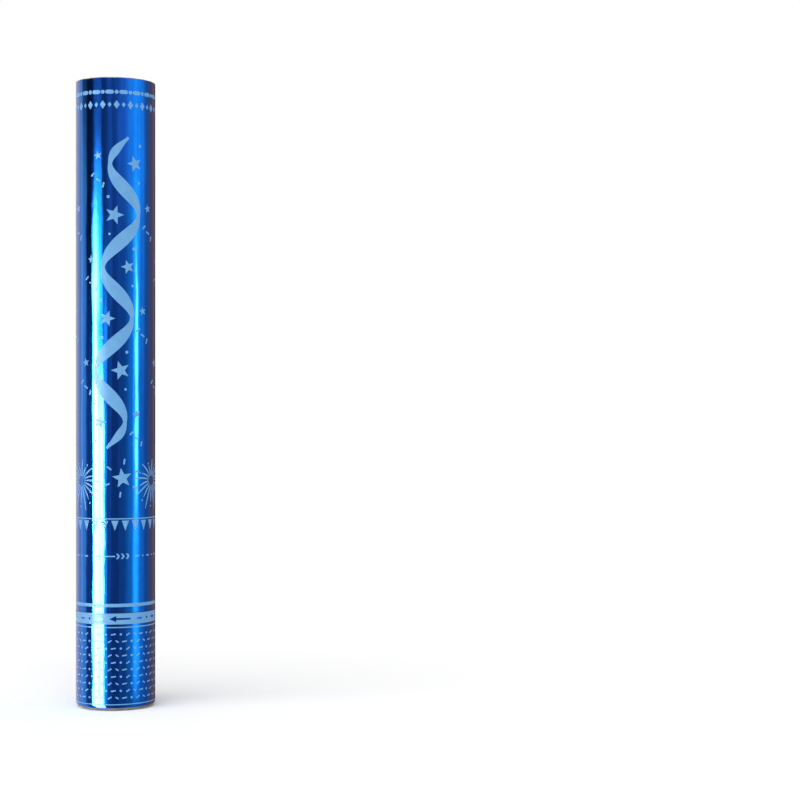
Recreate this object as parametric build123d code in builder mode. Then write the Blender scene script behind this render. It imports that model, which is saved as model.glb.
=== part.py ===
"""Twist-action confetti popper.

A long paperboard barrel and a short twist grip share one axis and are wrapped in metallic film.
Turning the grip drives a needle up a pair of helical slots, into the seal of a small gas canister.
The gas then pushes a wad, the confetti and the muzzle seal out of the barrel.
Millimetres, +Z up the barrel, origin at the middle of the base that the popper stands on.
"""

import math
import os

from build123d import *

# Paperboard tubes and their film
popper_length = 400.0
tube_diameter = 50.4
tube_wall = 2.0
film_thickness = 0.2
grip_length = 61.8
twist_gap = 0.3
curl_inside_radius = 1.8
curl_lip_width = 4.4
curl_facet_count = 6
film_wrap_facet_count = 2
muzzle_break = 0.3

# Base disc that the curled end of the grip holds
base_disc_land = 0.6

# Sleeve that joins the barrel to the grip
sleeve_wall = 1.6
sleeve_depth_in_barrel = 48.0
sleeve_chamfer = 0.6

# Twist hub, glued inside the grip
hub_floor = 2.4
hub_wall = 1.8
hub_rim_height = 9.0
drive_wall = 2.0
drive_margin = 1.6
hub_rib_count = 6
hub_rib_thickness = 1.8
hub_rib_height = 9.0

# Guide that the needle runs in, and the cap on its tail
guide_bore_diameter = 16.0
guide_wall = 2.0
guide_web = 2.5
guide_flange_thickness = 3.2
guide_cup_wall = 2.0
guide_cup_depth = 7.0
guide_vent_count = 6
guide_vent_width = 7.0
guide_vent_margin = 2.0
cap_flange_thickness = 1.6
cap_flange_overlap = 3.2
cap_plug_length = 4.0
cap_plug_wall = 2.2
cap_foot_gap = 1.5

# Striker, its cross pin, needle and return spring
striker_length = 18.0
striker_pin_height = 6.0
striker_flute_count = 3
striker_flute_diameter = 3.0
spring_pocket_depth = 4.0
cross_pin_diameter = 3.2
cross_pin_inset = 0.4
cross_pin_chamfer = 0.3
pierce_stroke = 8.0
pierce_angle = 90.0
slot_section_count = 11
needle_diameter = 2.6
needle_root = 6.0
needle_point_length = 4.0
needle_standoff = 2.0
spring_length = 18.0
spring_wire = 1.3
spring_mean_diameter = 9.4
spring_turn_count = 4
spring_side_count = 6
spring_ground_share = 0.25

# Gas canister and what closes its neck
canister_diameter = 30.0
canister_length = 112.0
canister_wall = 1.0
canister_end_radius = 7.0
canister_end_facet_count = 4
canister_shoulder_height = 9.0
neck_diameter = 13.0
neck_length = 10.0
ferrule_wall = 0.6
ferrule_height = 5.0
ferrule_mouth_diameter = 7.6
membrane_thickness = 0.3
gasket_thickness = 1.5
gasket_hole_diameter = 8.0

# Retainer that holds the canister's far end
retainer_plate = 2.0
retainer_wall = 1.6
retainer_ring_height = 14.0
retainer_collar_height = 10.0
retainer_vent_count = 8
retainer_vent_width = 5.0
retainer_vent_margin = 0.8

# Payload
pusher_thickness = 1.6
wad_thickness = 10.0
wad_chamfer = 0.8
muzzle_recess = 6.0
muzzle_seal_thickness = 1.6
slip_length = 24.0
slip_width = 10.0
slip_stack = 1.8
slip_step = 2.6
slip_spacing = 0.5
most_slip_count = 6
layer_turn_angle = 47.0
layer_tilt_angle = 5.0
layer_sway_angle = 9.0
confetti_colours = {
    "gold": (0, 4, 7, 10, 13),
    "blue": (1, 8, 11),
    "silver": (2, 9),
    "magenta": (3, 14),
    "red": (5, 12),
    "green": (6,),
}

# Clearances
glue_gap = 0.05
turning_clearance = 0.08
sliding_clearance = 0.15
drive_clearance = 0.2
pin_clearance = 0.15
end_gap = 0.3
payload_clearance = 0.4
payload_gap = 0.3
overrun = 2.0

# Radii and heights worked out from the sizes above
tube_radius = tube_diameter / 2
bore_radius = tube_radius - tube_wall
bonded_radius = bore_radius - glue_gap
curl_radius = curl_inside_radius + tube_wall
curl_centre = tube_radius - curl_radius
barrel_foot = grip_length + twist_gap

base_disc_top = tube_wall + curl_inside_radius + base_disc_land

guide_bore = guide_bore_diameter / 2
guide_radius = guide_bore + guide_wall
drive_bore = guide_radius + drive_clearance
drive_radius = drive_bore + drive_wall
hub_floor_foot = base_disc_top + cap_foot_gap + cap_flange_thickness + end_gap
hub_floor_top = hub_floor_foot + hub_floor
hub_rim_top = base_disc_top + hub_rim_height
guide_foot = hub_floor_foot - end_gap
cap_foot = guide_foot - cap_flange_thickness
cap_plug_top = guide_foot + cap_plug_length

sleeve_radius = bore_radius - turning_clearance
sleeve_bore = sleeve_radius - sleeve_wall
sleeve_foot = hub_rim_top + end_gap
sleeve_top = barrel_foot + sleeve_depth_in_barrel

pin_radius = cross_pin_diameter / 2
striker_radius = guide_bore - sliding_clearance
striker_foot = cap_plug_top + end_gap
striker_top = striker_foot + striker_length
pin_height = striker_foot + striker_pin_height
spring_foot = striker_top - spring_pocket_depth
spring_top = spring_foot + spring_length
web_foot = spring_top
cup_floor = web_foot + guide_web
flange_radius = sleeve_bore - glue_gap
drive_top = pin_height + pierce_stroke + pin_radius + drive_margin

neck_radius = neck_diameter / 2
ferrule_radius = neck_radius + ferrule_wall
cup_bore = ferrule_radius + glue_gap
cup_radius = cup_bore + guide_cup_wall
gasket_top = cup_floor + gasket_thickness
membrane_foot = gasket_top + ferrule_wall
neck_mouth = membrane_foot + membrane_thickness
canister_radius = canister_diameter / 2
canister_top = neck_mouth + canister_length
needle_radius = needle_diameter / 2
needle_tip = membrane_foot - needle_standoff

plate_foot = canister_top + glue_gap
payload_floor = plate_foot + retainer_plate
collar_bore = canister_radius + glue_gap
collar_radius = collar_bore + retainer_wall
payload_radius = bore_radius - payload_clearance
pusher_foot = payload_floor + payload_gap
wad_foot = pusher_foot + pusher_thickness
wad_top = wad_foot + wad_thickness
seal_top = popper_length - muzzle_recess
seal_foot = seal_top - muzzle_seal_thickness


def radial_plane(angle):
    """Upright plane through the popper's axis, its x pointing outward at the angle in degrees."""
    turn = math.radians(angle)
    outward = (math.cos(turn), math.sin(turn), 0)
    normal = (math.sin(turn), -math.cos(turn), 0)
    return Plane(origin=(0, 0, 0), x_dir=outward, z_dir=normal)


def bend(centre, radius, first_angle, last_angle, facet_count):
    """Points round a bend in a section, for a run of short flats from one angle to the other."""
    step = (last_angle - first_angle) / facet_count
    angles = [math.radians(first_angle + n * step) for n in range(facet_count + 1)]
    return [(centre[0] + radius * math.cos(a), centre[1] + radius * math.sin(a)) for a in angles]


def ring(outer, inner, foot, height):
    """Adds an upright ring to the part that is being built."""
    with BuildSketch(Plane.XY.offset(foot)) as outline:
        Circle(outer)
        Circle(inner, mode=Mode.SUBTRACT)
    extrude(outline.sketch, amount=height)


def disc(radius, foot, height, mode=Mode.ADD):
    """Adds or cuts a round disc on the popper's axis."""
    with BuildSketch(Plane.XY.offset(foot)) as outline:
        Circle(radius)
    extrude(outline.sketch, amount=height, mode=mode)


def keep(part, name):
    """Labels a finished piece and writes it under its own name."""
    part.label = name
    export_step(part, f"parts/{name}.step")


os.makedirs("parts", exist_ok=True)

# Grip tube: a short paperboard tube whose lower end is curled inward to hold the base disc
curl_middle = (curl_centre, curl_radius)
lip_radius = curl_centre - curl_lip_width
with BuildPart() as grip_tube:
    with BuildSketch(Plane.XZ):
        with BuildLine():
            Polyline(
                (tube_radius, grip_length),
                *bend(curl_middle, curl_radius, 0, -90, curl_facet_count),
                (lip_radius, 0),
                (lip_radius, tube_wall),
                *bend(curl_middle, curl_inside_radius, -90, 0, curl_facet_count // 2),
                (bore_radius, grip_length),
                close=True,
            )
        make_face()
    revolve(axis=Axis.Z)
keep(grip_tube.part, "grip_tube")

# Grip film: wraps the grip tube and ends part of the way round the curl
film_radius = tube_radius + film_thickness
film_wrap_angle = 90 * film_wrap_facet_count / curl_facet_count
with BuildPart() as grip_film:
    with BuildSketch(Plane.XZ):
        with BuildLine():
            Polyline(
                (film_radius, grip_length),
                *bend(curl_middle, curl_radius + film_thickness, 0, -film_wrap_angle, film_wrap_facet_count),
                *bend(curl_middle, curl_radius, -film_wrap_angle, 0, film_wrap_facet_count),
                (tube_radius, grip_length),
                close=True,
            )
        make_face()
    revolve(axis=Axis.Z)
keep(grip_film.part, "grip_film")

# Base disc: pressed board, nested in the curl
disc_edge = (curl_centre - glue_gap, curl_radius)
with BuildPart() as base_disc:
    with BuildSketch(Plane.XZ):
        with BuildLine():
            Polyline(
                (0, base_disc_top),
                (0, tube_wall),
                *bend(disc_edge, curl_inside_radius, -90, 0, curl_facet_count // 2),
                (bonded_radius, base_disc_top),
                close=True,
            )
        make_face()
    revolve(axis=Axis.Z)
keep(base_disc.part, "base_disc")

# Twist hub: floor, rim, ribs and the slotted drive tube that carries the cross pin round
with BuildPart() as twist_hub:
    ring(bonded_radius, drive_bore, hub_floor_foot, hub_floor)
    ring(bonded_radius, bonded_radius - hub_wall, base_disc_top, hub_rim_height)
    ring(drive_radius, drive_bore, hub_floor_foot, drive_top - hub_floor_foot)
    rib_root = drive_bore + drive_wall / 2
    rib_end = bonded_radius - hub_wall / 2
    rib_angles = [360 / hub_rib_count * (n + 1 / 2) for n in range(hub_rib_count)]
    with BuildSketch(*[radial_plane(angle) for angle in rib_angles]):
        with BuildLine():
            Polyline(
                (rib_root, hub_floor_foot),
                (rib_end, hub_floor_foot),
                (rib_end, hub_floor_top),
                (rib_root, hub_floor_top + hub_rib_height),
                close=True,
            )
        make_face()
    extrude(amount=hub_rib_thickness / 2, both=True)
    slot_foot = pin_height - pin_radius - pin_clearance
    with BuildSketch(Plane.XY.offset(slot_foot)):
        Rectangle(2 * drive_radius, cross_pin_diameter + 2 * pin_clearance)
    extrude(amount=drive_top - slot_foot, mode=Mode.SUBTRACT)
keep(twist_hub.part, "twist_hub")

# Joint sleeve: an inner tube, glued in the barrel, that the grip turns on
with BuildPart() as joint_sleeve:
    ring(sleeve_radius, sleeve_bore, sleeve_foot, sleeve_top - sleeve_foot)
    foot_edges = joint_sleeve.edges().filter_by(GeomType.CIRCLE).group_by(Axis.Z)[0]
    chamfer(foot_edges.sort_by(SortBy.RADIUS)[-1:], length=sleeve_chamfer)
keep(joint_sleeve.part, "joint_sleeve")

# Guide: the tube with helical slots, its vented flange and the cup for the canister's neck
with BuildPart() as striker_guide:
    ring(guide_radius, guide_bore, guide_foot, web_foot - guide_foot)
    disc(flange_radius, web_foot, guide_flange_thickness)
    ring(cup_radius, cup_bore, cup_floor, guide_cup_depth)
    disc(cup_bore, cup_floor, guide_cup_depth, Mode.SUBTRACT)
    disc(needle_radius + pin_clearance, web_foot, guide_web, Mode.SUBTRACT)
    vent_circle = (cup_radius + flange_radius) / 2
    vent_length = flange_radius - cup_radius - 2 * guide_vent_margin
    with BuildSketch(Plane.XY.offset(web_foot)):
        with PolarLocations(vent_circle, guide_vent_count):
            Rectangle(vent_length, guide_vent_width)
    extrude(amount=guide_flange_thickness, mode=Mode.SUBTRACT)
    slot_lead = pierce_stroke / math.radians(pierce_angle)
    slot_slope = math.atan(slot_lead / guide_bore)
    slot_height = (cross_pin_diameter + 2 * pin_clearance) / math.cos(slot_slope)
    slot_end = math.degrees(math.asin((pin_radius + pin_clearance) / guide_bore))
    slot_sweep = pierce_angle + 2 * slot_end
    slot_depth = guide_wall + overrun
    for side in (0, 180):
        for n in range(slot_section_count):
            turn = slot_sweep * n / (slot_section_count - 1) - slot_end
            climb = pin_height + slot_lead * math.radians(turn)
            with BuildSketch(radial_plane(side - turn)):
                with Locations(((guide_bore + guide_radius) / 2, climb)):
                    Rectangle(slot_depth, slot_height)
        loft(ruled=True, mode=Mode.SUBTRACT)
keep(striker_guide.part, "striker_guide")

# Guide cap: closes the guide's tail and holds the hub on by its flange
with BuildPart() as guide_cap:
    disc(guide_radius + cap_flange_overlap, cap_foot, cap_flange_thickness)
    disc(guide_bore - glue_gap, guide_foot, cap_plug_length)
    disc(guide_bore - glue_gap - cap_plug_wall, guide_foot, cap_plug_length, Mode.SUBTRACT)
keep(guide_cap.part, "guide_cap")

# Striker: a fluted slug with a pocket for the spring and holes for the needle and the cross pin
with BuildPart() as striker:
    disc(striker_radius, striker_foot, striker_length)
    pocket_radius = (spring_mean_diameter + spring_wire) / 2 + sliding_clearance
    disc(pocket_radius, spring_foot, spring_pocket_depth, Mode.SUBTRACT)
    needle_foot = spring_foot - needle_root
    disc(needle_radius, needle_foot, needle_root, Mode.SUBTRACT)
    with BuildSketch(Plane.XY.offset(striker_foot)):
        with PolarLocations(striker_radius, striker_flute_count, start_angle=90):
            Circle(striker_flute_diameter / 2)
    extrude(amount=striker_length, mode=Mode.SUBTRACT)
    with BuildSketch(Plane.YZ):
        with Locations((0, pin_height)):
            Circle(pin_radius)
    extrude(amount=striker_radius, both=True, mode=Mode.SUBTRACT)
keep(striker.part, "striker")

# Cross pin: a dowel through the striker that follows the guide's slots
with BuildPart() as cross_pin:
    with BuildSketch(Plane.YZ):
        with Locations((0, pin_height)):
            Circle(pin_radius)
    extrude(amount=drive_radius - cross_pin_inset, both=True)
    end_faces = cross_pin.faces().filter_by(Axis.X)
    chamfer(end_faces.edges().filter_by(GeomType.CIRCLE), length=cross_pin_chamfer)
keep(cross_pin.part, "cross_pin")

# Needle: a steel spike set in the striker
with BuildPart() as needle:
    disc(needle_radius, needle_foot, needle_tip - needle_point_length - needle_foot)
    with BuildSketch(Plane.XZ):
        with BuildLine():
            point_foot = needle_tip - needle_point_length
            Polyline((0, point_foot), (needle_radius, point_foot), (0, needle_tip), close=True)
        make_face()
    revolve(axis=Axis.Z)
keep(needle.part, "needle")


# Return spring: a helix of drawn wire on quarter-turn biarcs, ground flat at both ends
spring_cut = spring_wire * spring_ground_share
spring_pitch = (spring_length - spring_wire + 2 * spring_cut) / spring_turn_count


def spring_point(turn):
    """Point and direction on the spring's line, at a count of turns from its foot."""
    radius = spring_mean_diameter / 2
    angle = 2 * math.pi * turn
    height = spring_foot + spring_wire / 2 - spring_cut + spring_pitch * turn
    point = Vector(radius * math.cos(angle), radius * math.sin(angle), height)
    climb = spring_pitch / (2 * math.pi)
    ahead = Vector(-radius * math.sin(angle), radius * math.cos(angle), climb)
    return point, ahead.normalized()


with BuildPart() as return_spring:
    with BuildLine() as spring_line:
        for quarter in range(4 * spring_turn_count):
            start, leave = spring_point(quarter / 4)
            finish, arrive = spring_point((quarter + 1) / 4)
            chord = finish - start
            turning = 1 - leave.dot(arrive)
            along = chord.dot(leave + arrive)
            reach = (math.sqrt(along**2 + 2 * turning * chord.dot(chord)) - along) / (2 * turning)
            middle = (start + finish + (leave - arrive) * reach) / 2
            TangentArc(start, middle, tangent=leave)
            TangentArc(middle, finish, tangent=finish - arrive * reach - start - leave * reach)
    first_point, first_way = spring_point(0)
    with BuildSketch(Plane(origin=first_point, z_dir=first_way)):
        RegularPolygon(spring_wire / 2, spring_side_count)
    sweep(path=spring_line.line)
    disc(striker_radius, spring_foot, spring_length, Mode.INTERSECT)
keep(return_spring.part, "return_spring")

spring_steps = [spring_point(n / 16)[0] for n in range(16 * spring_turn_count + 1)]
turn_gaps = []
for n, point in enumerate(spring_steps):
    turn_gaps += [(other - point).length - spring_wire for other in spring_steps[n + 12 :]]
print("least gap between the spring's turns", round(min(turn_gaps), 2))


def canister_outline(inset):
    """Half outline of the canister, drawn in by the inset on its walls."""
    neck_top = neck_mouth + neck_length
    shoulder_top = neck_top + canister_shoulder_height
    end_middle = (canister_radius - canister_end_radius, canister_top - canister_end_radius)
    with BuildSketch(Plane.XZ) as outline:
        with BuildLine():
            Polyline(
                (0, neck_mouth),
                (neck_radius - inset, neck_mouth),
                (neck_radius - inset, neck_top),
                (canister_radius - inset, shoulder_top),
                *bend(end_middle, canister_end_radius - inset, 0, 90, canister_end_facet_count),
                (0, canister_top - inset),
                close=True,
            )
        make_face()
    return outline.sketch


# Gas canister: a drawn aluminium bottle, neck down, open at the mouth
with BuildPart() as gas_canister:
    revolve(canister_outline(0), axis=Axis.Z)
    revolve(canister_outline(canister_wall), axis=Axis.Z, mode=Mode.SUBTRACT)
keep(gas_canister.part, "gas_canister")

# Neck membrane: the thin sheet that the needle breaks
with BuildPart() as neck_membrane:
    disc(neck_radius, membrane_foot, membrane_thickness)
keep(neck_membrane.part, "neck_membrane")

# Neck ferrule: the crimped cap that holds the membrane on the neck
with BuildPart() as neck_ferrule:
    ring(ferrule_radius, ferrule_mouth_diameter / 2, gasket_top, ferrule_wall)
    ring(ferrule_radius, neck_radius, membrane_foot, ferrule_height - ferrule_wall)
keep(neck_ferrule.part, "neck_ferrule")

# Neck gasket: the rubber washer between the ferrule and the guide's cup
with BuildPart() as neck_gasket:
    ring(cup_bore - glue_gap, gasket_hole_diameter / 2, cup_floor, gasket_thickness)
keep(neck_gasket.part, "neck_gasket")

# Canister retainer: a collar over the canister, a vented plate and a ring glued in the barrel
with BuildPart() as canister_retainer:
    ring_bore = bonded_radius - retainer_wall
    ring_foot = payload_floor - retainer_ring_height
    disc(bonded_radius, plate_foot, retainer_plate)
    ring(bonded_radius, ring_bore, ring_foot, retainer_ring_height)
    ring(collar_radius, collar_bore, plate_foot - retainer_collar_height, retainer_collar_height)
    vent_length = ring_bore - collar_radius - 2 * retainer_vent_margin
    with BuildSketch(Plane.XY.offset(plate_foot)):
        with PolarLocations((collar_radius + ring_bore) / 2, retainer_vent_count):
            Rectangle(vent_length, retainer_vent_width)
    extrude(amount=retainer_plate, mode=Mode.SUBTRACT)
keep(canister_retainer.part, "canister_retainer")

# Barrel tube: the long paperboard tube, with its muzzle's inner edge broken
with BuildPart() as barrel_tube:
    ring(tube_radius, bore_radius, barrel_foot, popper_length - barrel_foot)
    muzzle_edges = barrel_tube.edges().filter_by(GeomType.CIRCLE).group_by(Axis.Z)[-1]
    chamfer(muzzle_edges.sort_by(SortBy.RADIUS)[:1], length=muzzle_break)
keep(barrel_tube.part, "barrel_tube")

# Barrel film: wraps the barrel from the twist line to the muzzle
with BuildPart() as barrel_film:
    ring(film_radius, tube_radius, barrel_foot, popper_length - barrel_foot)
keep(barrel_film.part, "barrel_film")

# Pusher disc: stiff board that the gas pushes on
with BuildPart() as pusher_disc:
    disc(payload_radius, pusher_foot, pusher_thickness)
keep(pusher_disc.part, "pusher_disc")

# Foam wad: a soft plug between the pusher disc and the confetti
with BuildPart() as foam_wad:
    disc(payload_radius, wad_foot, wad_thickness)
    chamfer(foam_wad.edges().filter_by(GeomType.CIRCLE), length=wad_chamfer)
keep(foam_wad.part, "foam_wad")

# Muzzle seal: the board disc that closes the barrel
with BuildPart() as muzzle_seal:
    disc(payload_radius, seal_foot, muzzle_seal_thickness)
keep(muzzle_seal.part, "muzzle_seal")

# Confetti: packets of foil slips in leaning layers, each layer turned against the one below
def slip_offset(count):
    """Distance from the axis to the middle of a slip, with that count of slips in a layer."""
    if count == 1:
        return 0
    return slip_width / 2 + slip_spacing + slip_length / 2 / math.tan(math.pi / count)


def layer_reach(count):
    """Radius of the circle that a layer of slips fits in."""
    return math.hypot(slip_offset(count) + slip_width / 2, slip_length / 2)


fitting_counts = [n for n in range(2, most_slip_count + 1) if layer_reach(n) < payload_radius]
layer_slip_count = max(fitting_counts, default=1)
lean_angle = math.radians(layer_tilt_angle)
lean_room = layer_reach(layer_slip_count) * math.sin(lean_angle) + slip_stack / 2
column_foot = wad_top + payload_gap + lean_room
column_top = seal_foot - payload_gap - lean_room
layer_count = int((column_top - column_foot) / slip_step) + 1
cycle_count = sum(len(turns) for turns in confetti_colours.values())
packets = {colour: [] for colour in confetti_colours}
for layer in range(layer_count):
    lean_way = math.radians(layer * layer_sway_angle)
    sideways = math.sin(lean_angle)
    lean = Vector(sideways * math.cos(lean_way), sideways * math.sin(lean_way), math.cos(lean_angle))
    middle = (0, 0, column_foot + layer * slip_step)
    layer_plane = Plane(origin=middle, x_dir=Vector(1, 0, 0).cross(lean), z_dir=lean)
    for slip in range(layer_slip_count):
        turn = layer * layer_turn_angle + slip * 360 / layer_slip_count
        place = Location((0, 0, 0), (0, 0, turn)) * Location((slip_offset(layer_slip_count), 0, 0))
        shade = (layer * layer_slip_count + slip) % cycle_count
        colour = next(name for name, turns in confetti_colours.items() if shade in turns)
        packets[colour].append(layer_plane * place)
for colour, places in packets.items():
    with BuildPart() as confetti:
        with Locations(*places):
            Box(slip_width, slip_length, slip_stack)
    keep(confetti.part, f"confetti_{colour}")
    print("confetti", colour, len(places))

print("payload floor", round(payload_floor, 3), "seal", round(seal_foot, 3), round(seal_top, 3))
print("needle tip", round(needle_tip, 3), "membrane", round(membrane_foot, 3))
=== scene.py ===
"""Looks of the twist-action confetti popper: film wraps, silver print, board, card, foam and foil slips.

Metres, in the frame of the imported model: +Z up the barrel, the side with the turn arrows towards -Y.
"""

import math
import random

import bmesh
import bpy
from mathutils import Matrix, Vector


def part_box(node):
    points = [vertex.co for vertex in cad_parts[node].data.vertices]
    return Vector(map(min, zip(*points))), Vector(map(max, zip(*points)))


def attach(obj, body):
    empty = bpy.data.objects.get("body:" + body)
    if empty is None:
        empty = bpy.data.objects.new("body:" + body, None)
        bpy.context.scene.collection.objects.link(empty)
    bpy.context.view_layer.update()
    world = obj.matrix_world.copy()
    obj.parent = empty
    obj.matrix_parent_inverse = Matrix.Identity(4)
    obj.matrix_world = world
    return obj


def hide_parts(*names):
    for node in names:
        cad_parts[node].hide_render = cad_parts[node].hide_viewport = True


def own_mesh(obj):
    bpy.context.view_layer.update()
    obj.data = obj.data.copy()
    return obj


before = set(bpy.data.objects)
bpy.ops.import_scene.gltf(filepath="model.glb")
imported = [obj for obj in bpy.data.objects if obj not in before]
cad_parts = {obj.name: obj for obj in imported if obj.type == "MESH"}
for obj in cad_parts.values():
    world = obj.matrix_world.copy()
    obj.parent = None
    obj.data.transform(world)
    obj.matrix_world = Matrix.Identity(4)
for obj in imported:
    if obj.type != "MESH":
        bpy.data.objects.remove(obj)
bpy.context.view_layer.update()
random.seed(11)
MM = 0.001
FULL_TURN = 2 * math.pi

# Sizes of the tubes and their film, read from the solids where they have them
barrel_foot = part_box("barrel_film")[0].z
barrel_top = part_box("barrel_film")[1].z
grip_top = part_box("grip_film")[1].z
grip_film_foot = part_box("grip_film")[0].z
film_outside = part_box("barrel_film")[1].x
board_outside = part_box("barrel_tube")[1].x
board_wall = 2.0 * MM
board_inside = board_outside - board_wall
lip_radius = 17.0 * MM
curl_radius = 3.8 * MM
curl_middle = board_outside - curl_radius
wall_sides = 192

print_room = 0.045 * MM
film_skin = film_outside - print_room
film_thickness = 0.08 * MM
film_trim = 0.45 * MM
ripple_depth = 0.085 * MM

# Modelling helpers
weld_reach = 0.0002 * MM
cut_reach = 0.0001 * MM


def pick(piece):
    """Selects one object and nothing else."""
    bpy.ops.object.select_all(action="DESELECT")
    piece.select_set(True)
    bpy.context.view_layer.objects.active = piece


def start(name, add, **sizes):
    """A primitive at its size and place, alone in the selection, with its place in its mesh."""
    bpy.ops.object.select_all(action="DESELECT")
    add(**sizes)
    piece = bpy.context.active_object
    piece.name = piece.data.name = name
    bpy.ops.object.transform_apply(location=True, rotation=True, scale=True)
    return piece


def edit(piece):
    pick(piece)
    bpy.ops.object.mode_set(mode="EDIT")
    bpy.ops.mesh.select_all(action="SELECT")


def object_mode():
    bpy.ops.object.mode_set(mode="OBJECT")


def face_outward():
    bpy.ops.mesh.select_all(action="SELECT")
    bpy.ops.mesh.normals_make_consistent(inside=False)
    object_mode()


def cut(place, facing, **trim):
    """Cuts all of the piece in edit mode along a plane."""
    bpy.ops.mesh.select_all(action="SELECT")
    bpy.ops.mesh.bisect(plane_co=place, plane_no=facing, threshold=cut_reach, **trim)


def apply_modifier(piece, kind, **settings):
    pick(piece)
    made = piece.modifiers.new(kind.title(), kind)
    for name, value in settings.items():
        setattr(made, name, value)
    bpy.ops.object.modifier_apply(modifier=made.name)


def smooth(piece, angle):
    pick(piece)
    bpy.ops.object.shade_smooth_by_angle(angle=math.radians(angle))


def turned(name, section, sides=wall_sides, closed=False, capped=False):
    """A ring of points drawn out from one (radius, height) of a section to the next, as on a lathe."""
    radius, height = section[0]
    piece = start(
        name, bpy.ops.mesh.primitive_circle_add, vertices=sides, radius=radius, location=(0, 0, height)
    )
    edit(piece)
    points = section + section[:1] if closed else section
    for (radius, height), (next_radius, next_height) in zip(points, points[1:]):
        bpy.ops.mesh.extrude_edges_indiv()
        bpy.ops.transform.translate(value=(0, 0, next_height - height))
        grow = next_radius / radius
        bpy.ops.transform.resize(value=(grow, grow, 1), center_override=(0, 0, 0))
    bpy.ops.mesh.select_all(action="SELECT")
    if closed:
        bpy.ops.mesh.remove_doubles(threshold=weld_reach)
    if capped:
        bpy.ops.mesh.fill_holes(sides=0)
    face_outward()
    return piece


def arc(middle_radius, middle_height, radius, first, last, steps):
    """Points of a bend in a section, first and last in degrees."""
    angles = [math.radians(first + (last - first) * step / steps) for step in range(steps + 1)]
    return [(middle_radius + radius * math.cos(a), middle_height + radius * math.sin(a)) for a in angles]


def even_heights(low, high, step):
    count = max(1, round((high - low) / step))
    return [low + (high - low) * number / count for number in range(count + 1)]


def settle(piece, material, body, slot, *replaced):
    """Gives a finished piece its material and the body it rides on, and hides the solids it stands for. The
    slot is not used.
    """
    piece.data.materials.clear()
    piece.data.materials.append(material)
    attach(piece, body)
    if replaced:
        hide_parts(*replaced)
    return piece


def polar(point):
    """A point's angle round the tube's axis and its distance from it."""
    return math.atan2(point.co.y, point.co.x), math.hypot(point.co.x, point.co.y)


def smooth_step(low, high, value):
    share = min(max((value - low) / (high - low), 0), 1)
    return share * share * (3 - 2 * share)


def ripple(angle, height, crests, rise, shift=0.0):
    """A wave with so many crests round the tube, which lean by its rise along it."""
    return math.sin(crests * angle + rise * height + shift)


def uneven_wave(angle, crests, drift, drift_crests):
    """A wave round the tube with its crests now wider, now closer."""
    return math.sin(crests * angle + drift * math.sin(drift_crests * angle))


def film_radius(angle, height):
    """Radius of the film's skin, which dips in shallow ripples where it sits on the board."""
    across = ripple(angle, height, 11, 38) * ripple(angle, height, 3, 52)
    along = ripple(angle, height, 5, -71, 1.3) * ripple(angle, height, -2, 97)
    return film_skin - ripple_depth * (0.5 + 0.3 * across + 0.2 * along)


# Material helpers
FLOAT, VECTOR = "NodeSocketFloat", "NodeSocketVector"


def node(tree, kind, inputs=None, **settings):
    """A new node. Settings are its own properties, inputs are numbers, colours or other nodes' sockets."""
    made = tree.nodes.new(kind)
    for name, value in settings.items():
        setattr(made, name, value)
    for name, value in (inputs or {}).items():
        if isinstance(value, bpy.types.NodeSocket):
            tree.links.new(value, made.inputs[name])
        else:
            made.inputs[name].default_value = value
    return made


def sums(tree, operation, first, second=0.0, third=0.0):
    return node(tree, "ShaderNodeMath", {0: first, 1: second, 2: third}, operation=operation).outputs[0]


def remap(tree, value, low, high, source=(0.0, 1.0), kind="LINEAR"):
    inputs = {"Value": value, "From Min": source[0], "From Max": source[1], "To Min": low, "To Max": high}
    return node(tree, "ShaderNodeMapRange", inputs, interpolation_type=kind).outputs["Result"]


def mixed(tree, share, first, second):
    inputs = {0: share, 6: first, 7: second}
    return node(tree, "ShaderNodeMix", inputs, data_type="RGBA").outputs[2]


def noise(tree, place, scale, detail):
    inputs = {"Vector": place, "Scale": scale, "Detail": detail}
    return node(tree, "ShaderNodeTexNoise", inputs).outputs[0]


def relief(tree, height, depth):
    return node(tree, "ShaderNodeBump", {"Height": height, "Distance": depth}).outputs["Normal"]


def finish(name, **constants):
    """A material with one Principled shader; constants go on the shader's own sockets."""
    material = bpy.data.materials.new(name)
    material.use_nodes = True
    tree = material.node_tree
    shader = tree.nodes["Principled BSDF"]
    for key, value in constants.items():
        shader.inputs[key.replace("_", " ")].default_value = value
    place = node(tree, "ShaderNodeTexCoord").outputs["Object"]
    return material, tree, shader, place


def feed(tree, shader, **sockets):
    for key, value in sockets.items():
        tree.links.new(value, shader.inputs[key.replace("_", " ")])


def effect(name, inputs, outputs):
    """An empty shader node group, with the sockets that it is given and those that it puts out."""
    group = bpy.data.node_groups.new(name, "ShaderNodeTree")
    for socket, kind in inputs.items():
        group.interface.new_socket(socket, in_out="INPUT", socket_type=kind)
    for socket in outputs:
        group.interface.new_socket(socket, in_out="OUTPUT", socket_type=FLOAT)
    return group, group.nodes.new("NodeGroupInput").outputs, group.nodes.new("NodeGroupOutput").inputs


def use(tree, group, **values):
    """Places a node group in a material with its own values, and gives its outputs."""
    inputs = {key.replace("_", " "): value for key, value in values.items()}
    return node(tree, "ShaderNodeGroup", inputs, node_tree=group).outputs


# Effects that materials share
def mottle_effect():
    """Soft cloudy change, for sag, stain and shade."""
    group, given, out = effect("mottle", {"Place": VECTOR, "Scale": FLOAT, "Detail": FLOAT}, ["Mask"])
    cloud = noise(group, given["Place"], given["Scale"], given["Detail"])
    group.links.new(remap(group, cloud, 0.0, 1.0, source=(0.28, 0.72)), out["Mask"])
    return group


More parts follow.
